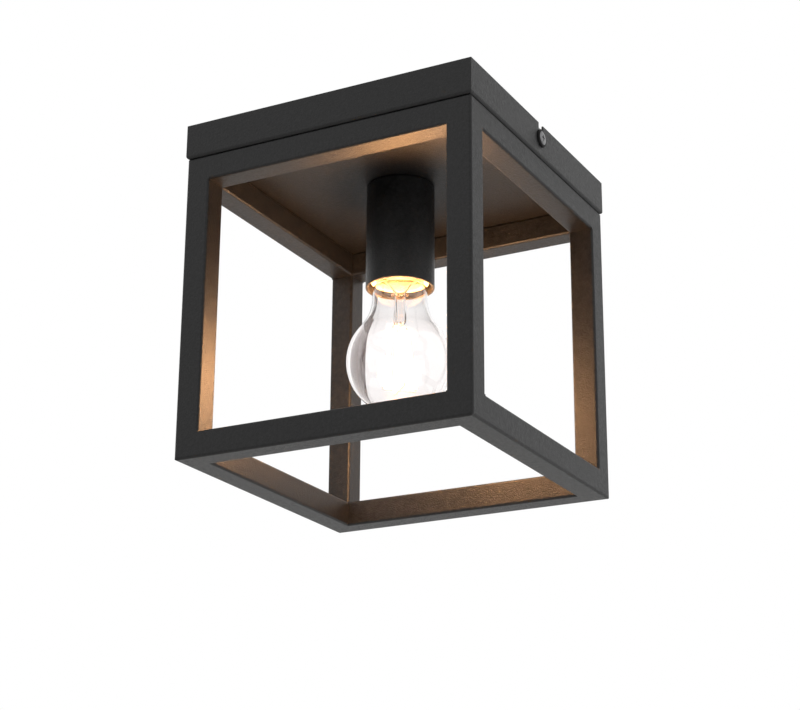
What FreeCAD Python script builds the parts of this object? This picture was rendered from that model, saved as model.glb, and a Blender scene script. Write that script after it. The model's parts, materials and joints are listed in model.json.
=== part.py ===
import FreeCAD, Part
import math
import os
import re
import Sketcher

# Porch ceiling lantern: an open cage of square steel tube under a shallow
# square canopy, with a lamp holder in a round cover and a clear globe lamp.
# Millimetres. The origin is the centre of the ceiling plane, +Z is up, the
# front is -Y and the two side screws lie on the X axis.

SIZES = {
    # Cage of square tube: two mitred rings and four posts between them.
    "cage_width": 180.0,
    "cage_height": 179.0,
    "tube_size": 15.0,
    "tube_wall": 1.2,
    "tube_corner": 1.5,
    # Canopy: a folded sheet pan, open towards the ceiling.
    "canopy_overhang": 0.75,
    "canopy_height": 21.0,
    "canopy_sheet": 1.0,
    "canopy_bend": 2.0,
    "canopy_bend_inside": 1.0,
    "slot_width": 6.0,
    "side_screw_drop": 9.0,
    # Screws and rivet nuts that hold the cage under the canopy.
    "cage_screw_inset": 30.0,
    "screw_radius": 2.0,
    "screw_hole_gap": 0.25,
    "thread_gap": 0.1,
    "screw_head_radius": 4.0,
    "screw_head_height": 2.4,
    "cage_screw_length": 8.0,
    "rivet_radius": 3.0,
    "rivet_length": 9.0,
    "rivet_flange": 0.6,
    "rivet_bulge_radius": 4.0,
    "rivet_bulge_height": 2.5,
    # Ceiling bracket: a strap with two ends turned down inside the canopy.
    "bracket_width": 22.0,
    "bracket_sheet": 1.5,
    "bracket_gap": 0.3,
    "bracket_drop": 16.0,
    "bracket_bend": 2.5,
    "bracket_corner": 3.0,
    "ceiling_slot_spacing": 80.0,
    "ceiling_slot_width": 5.0,
    "ceiling_slot_length": 20.0,
    "cable_hole_radius": 6.0,
    "clinch_radius": 4.0,
    "clinch_height": 3.0,
    # Side screws with their cup washers.
    "side_screw_length": 12.0,
    "side_head_radius": 4.0,
    "side_head_crown": 0.5,
    "cup_radius": 6.25,
    "cup_height": 1.6,
    "cup_edge": 0.5,
    # Threaded nipple with its nut and lock washer.
    "nipple_radius": 5.0,
    "nipple_bore": 3.5,
    "nipple_length": 20.0,
    "nipple_above": 7.0,
    "nipple_nut_flats": 14.0,
    "nipple_nut_height": 3.0,
    "lock_washer_radius": 8.5,
    "lock_washer_sheet": 0.8,
    # Round cover over the lamp holder.
    "cover_gap": 1.5,
    "cover_wall": 1.5,
    "cover_length": 64.0,
    "cover_round": 1.5,
    "cover_lip": 0.4,
    # Lamp holder: dome, insulator, skirt, screw shell and contacts.
    "dome_radius": 16.0,
    "dome_wall": 2.0,
    "dome_height": 19.5,
    "dome_shoulder": 6.0,
    "boss_radius": 8.0,
    "boss_height": 11.0,
    "skirt_radius": 17.0,
    "skirt_recess": 5.0,
    "skirt_mouth": 0.8,
    "insulator_radius": 15.0,
    "insulator_height": 9.5,
    "shell_radius": 14.0,
    "shell_sheet": 0.4,
    "shell_length": 23.5,
    "shell_hole": 6.0,
    "contact_pin": 2.0,
    "contact_radius": 4.0,
    "contact_rise": 1.2,
    "holder_terminal_x": 9.0,
    "holder_terminal_width": 5.8,
    "holder_terminal_depth": 7.8,
    "holder_terminal_height": 6.4,
    "small_screw_radius": 1.5,
    "small_head_radius": 2.75,
    "small_head_height": 2.0,
    # Mains terminal block and earth stud on the canopy's floor.
    "block_side_inset": 42.75,
    "block_back_inset": 50.75,
    "pole_width": 8.5,
    "pole_gap": 3.5,
    "block_depth": 18.0,
    "block_base": 8.0,
    "block_height": 14.0,
    "block_ear": 10.0,
    "block_ear_height": 3.0,
    "sleeve_radius": 2.9,
    "sleeve_bore": 1.8,
    "sleeve_length": 16.0,
    "sleeve_height": 5.0,
    "clamp_screw_y": 5.0,
    "clamp_screw_radius": 1.3,
    "block_nut_flats": 5.5,
    "block_nut_height": 2.4,
    "earth_inset": 45.75,
    "earth_stud_length": 12.0,
    "earth_nut_flats": 7.0,
    "earth_nut_height": 3.2,
    "earth_washer_radius": 4.5,
    "earth_washer_sheet": 0.8,
    # Globe lamp with a 27 mm screw cap.
    "lamp_gap": 0.3,
    "lamp_tip_to_centre": 74.0,
    "globe_radius": 30.0,
    "glass_wall": 0.8,
    "cap_radius": 13.2,
    "cap_sheet": 0.3,
    "cap_length": 26.0,
    "cap_overlap": 2.5,
    "neck_length": 4.5,
    "tip_radius": 4.2,
    "tip_height": 1.6,
    "glass_button_radius": 11.5,
    "driver_height": 10.0,
    "driver_drop": 8.0,
    "stem_radius": 3.2,
    "stem_length": 29.0,
    "stem_wall": 1.6,
    "filament_count": 4.0,
    "filament_radius": 0.9,
    "filament_top_spread": 4.0,
    "filament_foot_spread": 10.0,
    "filament_length": 39.0,
    "filament_tag": 2.0,
    "wire_radius": 0.3,
}

# Levels measured down from the ceiling, and places shared by several pieces.
FLOOR_UNDER = "-canopy_height"
FLOOR_TOP = f"{FLOOR_UNDER} + canopy_sheet"
TOP_RING = f"{FLOOR_UNDER} - tube_size / 2"
BOTTOM_RING = f"{FLOOR_UNDER} - cage_height + tube_size / 2"
RAIL_LINE = "cage_width / 2 - tube_size / 2"
SCREW_ROW = "(cage_width / 2 - cage_screw_inset)"
CANOPY_HALF = "(cage_width / 2 + canopy_overhang)"
BLOCK_ACROSS = f"(block_side_inset - {CANOPY_HALF})"
BLOCK_DEEP = f"({CANOPY_HALF} - block_back_inset)"
EARTH_LINE = f"({CANOPY_HALF} - earth_inset)"
COVER_UNDER = f"{FLOOR_UNDER} - cover_wall"
COVER_RADIUS = "(skirt_radius + cover_gap + cover_wall)"
POLE_STEP = "(pole_width + pole_gap)"
COVER_RIM = f"{FLOOR_UNDER} - cover_length"
DOME_RIM = f"{COVER_UNDER} - dome_height"
LEDGE = f"{DOME_RIM} - insulator_height"
SKIRT_RIM = f"{COVER_RIM} + skirt_recess"
TIP = f"{LEDGE} - contact_rise - lamp_gap"
CAP_END = f"{TIP} - cap_length"
NECK_TOP = f"{CAP_END} + cap_overlap"
GLOBE_CENTRE = f"{TIP} - lamp_tip_to_centre"
STEM_END = f"{NECK_TOP} - stem_length"
TAB_FACE = f"{CANOPY_HALF} - canopy_sheet - bracket_gap"

DOC = FreeCAD.newDocument("porch_lantern")
NODES = []


def fill_sheet():
    sheet = DOC.addObject("Spreadsheet::Sheet", "Sizes")
    for row, (name, size) in enumerate(SIZES.items(), start=1):
        sheet.set(f"A{row}", name)
        sheet.set(f"B{row}", str(size))
        sheet.setAlias(f"B{row}", name)
    DOC.recompute()


def in_sheet(text):
    """The expression with every size written as a cell of the sheet."""
    def cell(word):
        name = word.group()
        return f"Sizes.{name}" if name in SIZES else name
    return re.sub(r"[a-z][a-z0-9_]*", cell, str(text))


def value(text):
    return float(DOC.Sizes.evalExpression(in_sheet(text)))


def bind(thing, prop, text):
    thing.setExpression(prop, in_sheet(text))


def new_body(label):
    body = DOC.addObject("PartDesign::Body", label)
    body.Label = label
    NODES.append(body)
    return body


def origin_plane(body, role):
    return next(item for item in body.Origin.OriginFeatures if item.Role == role)


def new_sketch(body, role, level="0"):
    """A sketch on one of the body's own planes, lifted along its normal."""
    sketch = body.newObject("Sketcher::SketchObject", "Sketch")
    sketch.AttachmentSupport = [(origin_plane(body, role), "")]
    sketch.MapMode = "FlatFace"
    bind(sketch, "AttachmentOffset.Base.z", level)
    return sketch


def hold_point(sketch, item, end, across, up):
    for kind, text in (("DistanceX", across), ("DistanceY", up)):
        rule = Sketcher.Constraint(kind, -1, 1, item, end, value(text))
        bind(sketch, f"Constraints[{sketch.addConstraint(rule)}]", text)


def arc_between(start, finish, radius, turn):
    """The short arc from start to finish; turn is 1 to the left, -1 to the right."""
    chord = finish - start
    rise = math.sqrt(radius ** 2 - (chord.Length / 2) ** 2)
    side = FreeCAD.Vector(-chord.y, chord.x, 0) / chord.Length
    centre = (start + finish) / 2 + side * rise * turn
    first, last = (start, finish) if turn > 0 else (finish, start)
    begin = math.atan2(first.y - centre.y, first.x - centre.x)
    end = math.atan2(last.y - centre.y, last.x - centre.x)
    circle = Part.Circle(centre, FreeCAD.Vector(0, 0, 1), radius)
    return Part.ArcOfCircle(circle, begin, end if end > begin else end + 2 * math.pi)


def draw_outline(sketch, corners):
    """A closed outline. A corner with a radius and a turn starts an arc."""
    spots = [FreeCAD.Vector(value(corner[0]), value(corner[1]), 0) for corner in corners]
    ends = []
    for number, corner in enumerate(corners):
        start, finish = spots[number], spots[(number + 1) % len(spots)]
        if len(corner) == 2:
            item = sketch.addGeometry(Part.LineSegment(start, finish), False)
            ends.append((item, 1, 2))
            continue
        radius, turn = corner[2], corner[3]
        item = sketch.addGeometry(arc_between(start, finish, value(radius), turn), False)
        ends.append((item, 1, 2) if turn > 0 else (item, 2, 1))
    for number, (item, start, finish) in enumerate(ends):
        after, after_start, _ = ends[(number + 1) % len(ends)]
        sketch.addConstraint(Sketcher.Constraint("Coincident", item, finish, after, after_start))
        hold_point(sketch, item, start, corners[number][0], corners[number][1])
        if len(corners[number]) > 2:
            rule = Sketcher.Constraint("Radius", item, value(corners[number][2]))
            bind(sketch, f"Constraints[{sketch.addConstraint(rule)}]", corners[number][2])


def draw_box(sketch, left, low, right, high):
    draw_outline(sketch, [(left, low), (right, low), (right, high), (left, high)])


def draw_edge_round(sketch, across, up, side, rise):
    """The waste outside a rounded edge; side and rise point away from the metal."""
    past_across, past_up = f"{across} + {side}", f"{up} + {rise}"
    off_across, off_up = f"{across} - {side} * tube_corner", f"{up} - {rise} * tube_corner"
    draw_outline(sketch, [
        (past_across, past_up),
        (off_across, past_up),
        (off_across, up, "tube_corner", -side * rise),
        (across, off_up),
        (past_across, off_up),
    ])


def draw_circle(sketch, across, up, radius):
    centre = FreeCAD.Vector(value(across), value(up), 0)
    circle = Part.Circle(centre, FreeCAD.Vector(0, 0, 1), value(radius))
    item = sketch.addGeometry(circle, False)
    hold_point(sketch, item, 3, across, up)
    rule = Sketcher.Constraint("Radius", item, value(radius))
    bind(sketch, f"Constraints[{sketch.addConstraint(rule)}]", radius)


def draw_hexagon(sketch, flats):
    corners = []
    for number in range(6):
        reach = f"({flats}) / 2 / cos(30 deg)"
        angle = f"{60 * number + 30} deg"
        corners.append((f"{reach} * cos({angle})", f"{reach} * sin({angle})"))
    draw_outline(sketch, corners)


def draw_slot(sketch, across, up, length, width):
    """A straight slot with round ends, long in the sketch's first direction."""
    reach = f"(({length}) - ({width})) / 2"
    half = f"({width}) / 2"
    for side, first, last in ((1, "-", "+"), (-1, "+", "-")):
        middle = FreeCAD.Vector(value(f"{across} + {side} * {reach}"), value(up), 0)
        tall = FreeCAD.Vector(0, value(half) * side, 0)
        tip = middle + FreeCAD.Vector(value(half) * side, 0, 0)
        sketch.addGeometry(Part.Arc(middle - tall, tip, middle + tall), False)
        item = sketch.GeometryCount - 1
        hold_point(sketch, item, 3, f"{across} + {side} * {reach}", up)
        rule = Sketcher.Constraint("Radius", item, value(half))
        bind(sketch, f"Constraints[{sketch.addConstraint(rule)}]", half)
        sketch.addConstraint(Sketcher.Constraint("Vertical", item, 1, item, 2))
        sketch.addConstraint(Sketcher.Constraint("Vertical", item, 1, item, 3))
    right, left = sketch.GeometryCount - 2, sketch.GeometryCount - 1
    for start, finish in ((right, left), (left, right)):
        ends = (end_point(sketch, start, 2), end_point(sketch, finish, 1))
        line = sketch.addGeometry(Part.LineSegment(*ends), False)
        sketch.addConstraint(Sketcher.Constraint("Coincident", start, 2, line, 1))
        sketch.addConstraint(Sketcher.Constraint("Coincident", line, 2, finish, 1))


def end_point(sketch, item, end):
    curve = sketch.Geometry[item]
    return curve.StartPoint if end == 1 else curve.EndPoint


def pad(body, sketch, length, symmetric=False):
    feature = body.newObject("PartDesign::Pad", "Pad")
    feature.Profile = sketch
    feature.SideType = "Symmetric" if symmetric else "One side"
    bind(feature, "Length", length)
    DOC.recompute()
    return feature


def pocket(body, sketch, length=None, upwards=False, symmetric=False):
    """A cut through everything, or to a depth below, above or about the sketch."""
    before = body.Tip.Shape.Volume
    feature = body.newObject("PartDesign::Pocket", "Pocket")
    feature.Profile = sketch
    if length is None:
        feature.Type = "ThroughAll"
        feature.SideType = "Symmetric"
    else:
        feature.SideType = "Symmetric" if symmetric else "One side"
        feature.Reversed = upwards
        bind(feature, "Length", length)
    DOC.recompute()
    if feature.Shape.Volume > before - 0.001:
        raise ValueError(f"{body.Label}: a cut takes nothing away")
    return feature


def chosen_edges(body, test):
    edges = body.Tip.Shape.Edges
    return [f"Edge{number}" for number, edge in enumerate(edges, start=1) if test(edge)]


def fillet(body, radius, test):
    DOC.recompute()
    base, names = body.Tip, chosen_edges(body, test)
    feature = body.newObject("PartDesign::Fillet", "Fillet")
    feature.Base = (base, names)
    bind(feature, "Radius", radius)
    DOC.recompute()
    return feature


def chamfer(body, size, test):
    DOC.recompute()
    base, names = body.Tip, chosen_edges(body, test)
    feature = body.newObject("PartDesign::Chamfer", "Chamfer")
    feature.Base = (base, names)
    bind(feature, "Size", size)
    DOC.recompute()
    return feature


def turned(label, corners):
    """A piece turned about the Z axis from its outline in radius and height."""
    body = new_body(label)
    sketch = new_sketch(body, "XZ_Plane")
    draw_outline(sketch, corners)
    feature = body.newObject("PartDesign::Revolution", "Revolution")
    feature.Profile = sketch
    feature.ReferenceAxis = (sketch, ["V_Axis"])
    feature.Angle = 360
    DOC.recompute()
    return body


def hex_nut(label, flats, height, bore, level="0"):
    body = new_body(label)
    sketch = new_sketch(body, "XY_Plane", level)
    draw_hexagon(sketch, flats)
    draw_circle(sketch, "0", "0", bore)
    pad(body, sketch, height)
    return body


def repeat(body, *steps):
    """Repeats the piece to the right and to the back; a step is (plane, length, count)."""
    feature = body.Tip
    pattern = body.newObject("PartDesign::LinearPattern", "Pattern")
    pattern.Originals = [feature]
    for suffix, (role, length, count) in zip(("", "2"), steps):
        setattr(pattern, f"Direction{suffix}", (origin_plane(body, role), [""]))
        setattr(pattern, f"Reversed{suffix}", role == "XZ_Plane")
        setattr(pattern, f"Occurrences{suffix}", count)
        bind(pattern, f"Length{suffix}", length)
    body.Tip = pattern
    DOC.recompute()


def place(body, across="0", deep="0", up="0", axis=(0, 0, 1), angle=0):
    body.Placement.Rotation = FreeCAD.Rotation(FreeCAD.Vector(*axis), angle)
    bind(body, "Placement.Base.x", across)
    bind(body, "Placement.Base.y", deep)
    bind(body, "Placement.Base.z", up)


def along(edge, direction):
    if not isinstance(edge.Curve, Part.Line):
        return False
    return abs(abs(edge.tangentAt(edge.FirstParameter).dot(FreeCAD.Vector(*direction))) - 1) < 1e-6


def at_height(edge, level):
    box = edge.BoundBox
    return abs(box.ZMin - level) < 1e-4 and abs(box.ZMax - level) < 1e-4


def make_rail(label, level, angle, post_side, riveted=False):
    """A hollow square tube with both ends mitred, along X at the front.

    Its edges are rounded, on the side of the posts only between the posts, so
    that the welded joints are flush. post_side is 1 where the posts stand
    above the rail and -1 where they hang below it.
    """
    body = new_body(label)
    half, line = "tube_size / 2", f"-({RAIL_LINE})"
    outside = new_sketch(body, "YZ_Plane")
    draw_box(outside, f"{line} - {half}", f"{level} - {half}", f"{line} + {half}", f"{level} + {half}")
    pad(body, outside, "cage_width", symmetric=True)
    free_level = value(f"{level} - {post_side} * {half}")
    fillet(body, "tube_corner", lambda edge: along(edge, (1, 0, 0)) and at_height(edge, free_level))
    rounds = new_sketch(body, "YZ_Plane")
    joint_level = f"{level} + {post_side} * {half}"
    for side in (1, -1):
        draw_edge_round(rounds, f"{line} + {side} * {half}", joint_level, side, post_side)
    pocket(body, rounds, "cage_width - 2 * tube_size", symmetric=True)
    bore = new_sketch(body, "YZ_Plane")
    inner = f"({half} - tube_wall)"
    draw_box(bore, f"{line} - {inner}", f"{level} - {inner}", f"{line} + {inner}", f"{level} + {inner}")
    pocket(body, bore)
    mitres = new_sketch(body, "XY_Plane")
    far, near = "cage_width / 2 + 1", "cage_width / 2 - tube_size - 1"
    for side in ("", "-"):
        tip, foot = (f"{side}({far})", f"-({far})"), (f"{side}({near})", f"-({near})")
        draw_outline(mitres, [tip, foot, (tip[0], foot[1])])
    pocket(body, mitres)
    corners = new_sketch(body, "XY_Plane")
    for side in (1, -1):
        draw_edge_round(corners, f"{side} * cage_width / 2", "-cage_width / 2", side, -1)
    pocket(body, corners)
    if riveted:
        cut_rivet_holes(body, line)
    place(body, angle=angle)


def cut_rivet_holes(body, line):
    top = FLOOR_UNDER
    holes = new_sketch(body, "XY_Plane", top)
    for side in ("", "-"):
        draw_circle(holes, f"{side}{SCREW_ROW}", line, "rivet_radius")
    pocket(body, holes, "tube_wall + 1")
    level, size = value(top), value("rivet_radius")
    chamfer(body, "rivet_flange", lambda edge: at_height(edge, level) and is_circle(edge, size))


def is_circle(edge, radius):
    return isinstance(edge.Curve, Part.Circle) and abs(edge.Curve.Radius - radius) < 1e-4


def make_post(label, angle):
    """An upright tube that stands between the two mitred rings."""
    body = new_body(label)
    outer, inner = "-cage_width / 2", "-cage_width / 2 + tube_size"
    section = new_sketch(body, "XY_Plane", f"{FLOOR_UNDER} - cage_height + tube_size")
    draw_box(section, outer, outer, inner, inner)
    pad(body, section, "cage_height - 2 * tube_size")
    fillet(body, "tube_corner", lambda edge: along(edge, (0, 0, 1)))
    bore = new_sketch(body, "XY_Plane")
    low, high = f"{outer} + tube_wall", f"{inner} - tube_wall"
    draw_box(bore, low, low, high, high)
    pocket(body, bore)
    place(body, angle=angle)


def make_canopy():
    """A square pan folded from sheet, its floor down and its rim at the ceiling."""
    body = new_body("canopy")
    half = CANOPY_HALF
    outside = new_sketch(body, "XY_Plane", FLOOR_UNDER)
    draw_box(outside, f"-{half}", f"-{half}", half, half)
    pad(body, outside, "canopy_height")
    under = value(FLOOR_UNDER)
    fillet(body, "canopy_bend", lambda edge: at_height(edge, under))
    inside = new_sketch(body, "XY_Plane")
    wall = f"({half} - canopy_sheet)"
    draw_box(inside, f"-{wall}", f"-{wall}", wall, wall)
    pocket(body, inside, "canopy_height - canopy_sheet")
    floor = value(FLOOR_TOP)
    fillet(body, "canopy_bend_inside", lambda edge: at_height(edge, floor))
    holes = new_sketch(body, "XY_Plane")
    draw_circle(holes, "0", "0", "nipple_radius + screw_hole_gap")
    for across in (SCREW_ROW, f"-{SCREW_ROW}"):
        for deep in (RAIL_LINE, f"-({RAIL_LINE})"):
            draw_circle(holes, across, deep, "screw_radius + screw_hole_gap")
    pocket(body, holes)
    slots = new_sketch(body, "YZ_Plane")
    edge, drop = "slot_width / 2", "-side_screw_drop"
    foot = f"{drop} - slot_width / 2"
    draw_outline(slots, [
        (f"-{edge}", "1"),
        (f"-{edge}", drop, "slot_width / 2", 1),
        ("0", foot, "slot_width / 2", 1),
        (edge, drop),
        (edge, "1"),
    ])
    pocket(body, slots)


def make_cage_screws():
    head = f"{FLOOR_TOP} + screw_head_height"
    body = turned("cage_screws", [
        ("0", f"{FLOOR_TOP} - cage_screw_length"),
        ("screw_radius - 0.4", f"{FLOOR_TOP} - cage_screw_length"),
        ("screw_radius", f"{FLOOR_TOP} - cage_screw_length + 0.4"),
        ("screw_radius", FLOOR_TOP),
        ("screw_head_radius", FLOOR_TOP),
        ("screw_head_radius", f"{head} - 1.2", "screw_head_radius * 1.6", 1),
        ("screw_head_radius * 0.55", head),
        ("0", head),
    ])
    repeat(body, ("YZ_Plane", f"2 * {SCREW_ROW}", 2), ("XZ_Plane", f"2 * ({RAIL_LINE})", 2))
    place(body, f"-{SCREW_ROW}", f"-({RAIL_LINE})")


def make_rivet_nuts():
    under = f"{FLOOR_UNDER} - tube_wall"
    bore = "screw_radius + thread_gap"
    body = turned("cage_rivet_nuts", [
        (bore, FLOOR_UNDER),
        ("rivet_radius + rivet_flange", FLOOR_UNDER),
        ("rivet_radius", f"{FLOOR_UNDER} - rivet_flange"),
        ("rivet_radius", under),
        ("rivet_bulge_radius", under),
        ("rivet_bulge_radius", f"{under} - rivet_bulge_height / 2"),
        ("rivet_radius", f"{under} - rivet_bulge_height"),
        ("rivet_radius", f"{FLOOR_UNDER} - rivet_length"),
        (bore, f"{FLOOR_UNDER} - rivet_length"),
    ])
    repeat(body, ("YZ_Plane", f"2 * {SCREW_ROW}", 2), ("XZ_Plane", f"2 * ({RAIL_LINE})", 2))
    place(body, f"-{SCREW_ROW}", f"-({RAIL_LINE})")


def make_bracket():
    """A strap across the canopy's mouth with both ends turned down."""
    body = new_body("mounting_bracket")
    face, inner = TAB_FACE, f"({TAB_FACE} - bracket_sheet)"
    profile = new_sketch(body, "XZ_Plane")
    draw_outline(profile, [
        (f"-({face})", "0"),
        (f"-({face})", "-bracket_drop"),
        (f"-{inner}", "-bracket_drop"),
        (f"-{inner}", "-bracket_sheet"),
        (inner, "-bracket_sheet"),
        (inner, "-bracket_drop"),
        (face, "-bracket_drop"),
        (face, "0"),
    ])
    pad(body, profile, "bracket_width", symmetric=True)
    thick = value("bracket_sheet")
    fillet(body, "bracket_bend", lambda edge: along(edge, (0, 1, 0)) and at_height(edge, 0))
    fillet(body, "bracket_bend - bracket_sheet",
           lambda edge: along(edge, (0, 1, 0)) and at_height(edge, -thick))
    low = -value("bracket_drop")
    fillet(body, "bracket_corner", lambda edge: along(edge, (1, 0, 0)) and at_height(edge, low))
    holes = new_sketch(body, "XY_Plane")
    draw_circle(holes, "0", "0", "cable_hole_radius")
    for side in ("", "-"):
        middle = f"{side}ceiling_slot_spacing / 2"
        draw_slot(holes, middle, "0", "ceiling_slot_length", "ceiling_slot_width")
    pocket(body, holes)
    side_holes = new_sketch(body, "YZ_Plane")
    draw_circle(side_holes, "0", "-side_screw_drop", "screw_radius + screw_hole_gap")
    pocket(body, side_holes)


def make_clinch_nuts():
    """Round nuts pressed on the inner faces of the bracket's ends."""
    body = new_body("bracket_nuts")
    inner = f"({TAB_FACE} - bracket_sheet)"
    for side, level in (("left", f"-{inner}"), ("right", f"{inner} - clinch_height")):
        section = new_sketch(body, "YZ_Plane", level)
        draw_circle(section, "0", "-side_screw_drop", "clinch_radius")
        draw_circle(section, "0", "-side_screw_drop", "screw_radius + thread_gap")
        pad(body, section, "clinch_height").Label = f"{side}_nut"


def make_side_washer(label, side):
    bore = "side_head_radius + thread_gap"
    body = turned(label, [
        (f"{bore} - cup_height", "0"),
        ("cup_radius", "0"),
        ("cup_radius", "cup_edge", "cup_height - cup_edge", 1),
        ("cup_radius - cup_height + cup_edge", "cup_height"),
        (bore, "cup_height"),
    ])
    place(body, f"{side}{CANOPY_HALF}", "0", "-side_screw_drop", (0, 1, 0), float(f"{side}90"))


def make_side_screw(label, side):
    tip = "cup_height - side_screw_length"
    crown = "(side_head_radius * side_head_radius / side_head_crown + side_head_crown) / 2"
    body = turned(label, [
        ("0", tip),
        ("screw_radius - 0.5", tip),
        ("screw_radius", f"{tip} + 0.5"),
        ("screw_radius", "cup_height + screw_radius - side_head_radius"),
        ("side_head_radius", "cup_height", crown, 1),
        ("0", "cup_height + side_head_crown"),
    ])
    place(body, f"{side}{CANOPY_HALF}", "0", "-side_screw_drop", (0, 1, 0), float(f"{side}90"))


def make_nipple():
    top = f"{FLOOR_TOP} + nipple_above"
    foot = f"{top} - nipple_length"
    turned("holder_nipple", [
        ("nipple_bore", foot),
        ("nipple_radius - 0.5", foot),
        ("nipple_radius", f"{foot} + 0.5"),
        ("nipple_radius", f"{top} - 0.5"),
        ("nipple_radius - 0.5", top),
        ("nipple_bore", top),
    ])
    turned("nipple_lock_washer", [
        ("nipple_radius + screw_hole_gap", FLOOR_TOP),
        ("lock_washer_radius", FLOOR_TOP),
        ("lock_washer_radius", f"{FLOOR_TOP} + lock_washer_sheet"),
        ("nipple_radius + screw_hole_gap", f"{FLOOR_TOP} + lock_washer_sheet"),
    ])
    seat = f"{FLOOR_TOP} + lock_washer_sheet"
    hex_nut("nipple_nut", "nipple_nut_flats", "nipple_nut_height", "nipple_radius", seat)


def make_cover():
    outer, inner = COVER_RADIUS, "(skirt_radius + cover_gap)"
    turned("lampholder_cover", [
        ("nipple_radius + screw_hole_gap", FLOOR_UNDER),
        ("nipple_radius + screw_hole_gap", COVER_UNDER),
        (inner, COVER_UNDER),
        (inner, COVER_RIM),
        (f"{outer} - cover_lip", COVER_RIM, "cover_lip", 1),
        (outer, f"{COVER_RIM} + cover_lip"),
        (outer, f"{FLOOR_UNDER} - cover_round", "cover_round", 1),
        (f"{outer} - cover_round", FLOOR_UNDER),
    ])


def make_dome():
    """The holder's top shell, with the boss that screws on the nipple."""
    turn = f"{COVER_UNDER} - dome_shoulder"
    inside = f"{COVER_UNDER} - dome_wall"
    reach = "(dome_radius - dome_shoulder)"
    turned("lampholder_dome", [
        ("nipple_radius", COVER_UNDER),
        ("nipple_radius", f"{COVER_UNDER} - boss_height"),
        ("boss_radius", f"{COVER_UNDER} - boss_height"),
        ("boss_radius", inside),
        (reach, inside, "dome_shoulder - dome_wall", -1),
        ("dome_radius - dome_wall", turn),
        ("dome_radius - dome_wall", DOME_RIM),
        ("dome_radius", DOME_RIM),
        ("dome_radius", turn, "dome_shoulder", 1),
        (reach, COVER_UNDER),
    ])


def make_insulator():
    """The holder's ceramic disc with pockets for the two wire terminals."""
    body = turned("lampholder_insulator", [
        ("contact_pin", LEDGE),
        ("insulator_radius", LEDGE),
        ("insulator_radius", DOME_RIM),
        ("contact_pin", DOME_RIM),
    ])
    pockets = new_sketch(body, "XY_Plane", DOME_RIM)
    wide, deep = "holder_terminal_width / 2", "holder_terminal_depth / 2"
    for side in ("", "-"):
        middle = f"{side}holder_terminal_x"
        draw_box(pockets, f"{middle} - {wide}", f"-{deep}", f"{middle} + {wide}", deep)
    pocket(body, pockets, "holder_terminal_height")


def make_holder_terminals():
    body = new_body("lampholder_terminals")
    section = new_sketch(body, "XY_Plane", f"{DOME_RIM} - holder_terminal_height")
    wide, deep = "holder_terminal_width / 2", "holder_terminal_depth / 2"
    for side in ("", "-"):
        middle = f"{side}holder_terminal_x"
        draw_box(section, f"{middle} - {wide}", f"-{deep}", f"{middle} + {wide}", deep)
        draw_circle(section, middle, "0", "small_screw_radius")
    pad(body, section, "holder_terminal_height")
    screws = turned("lampholder_terminal_screws", [
        ("0", f"{DOME_RIM} - holder_terminal_height + 1"),
        ("small_screw_radius", f"{DOME_RIM} - holder_terminal_height + 1"),
        ("small_screw_radius", DOME_RIM),
        ("small_head_radius", DOME_RIM),
        ("small_head_radius", f"{DOME_RIM} + small_head_height"),
        ("0", f"{DOME_RIM} + small_head_height"),
    ])
    repeat(screws, ("YZ_Plane", "2 * holder_terminal_x", 2))
    place(screws, "-holder_terminal_x")


def make_skirt():
    """The holder's lower shell; its ledge carries the insulator and the shell."""
    bore = "(shell_radius + thread_gap)"
    turned("lampholder_skirt", [
        (bore, LEDGE),
        (bore, f"{SKIRT_RIM} + skirt_mouth"),
        (f"{bore} + skirt_mouth", SKIRT_RIM),
        ("skirt_radius - skirt_mouth", SKIRT_RIM, "skirt_mouth", 1),
        ("skirt_radius", f"{SKIRT_RIM} + skirt_mouth"),
        ("skirt_radius", DOME_RIM),
        ("insulator_radius", DOME_RIM),
        ("insulator_radius", LEDGE),
    ])


def make_screw_shell():
    inner = "shell_radius - shell_sheet"
    turned("lampholder_shell", [
        ("shell_hole", LEDGE),
        ("shell_hole", f"{LEDGE} - shell_sheet"),
        (inner, f"{LEDGE} - shell_sheet"),
        (inner, f"{LEDGE} - shell_length"),
        ("shell_radius", f"{LEDGE} - shell_length"),
        ("shell_radius", LEDGE),
    ])
    turned("lampholder_contact", [
        ("0", f"{LEDGE} - contact_rise"),
        ("contact_radius - contact_rise", f"{LEDGE} - contact_rise", "contact_rise", 1),
        ("contact_radius", LEDGE),
        ("contact_pin", LEDGE),
        ("contact_pin", DOME_RIM),
        ("0", DOME_RIM),
    ])


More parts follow.
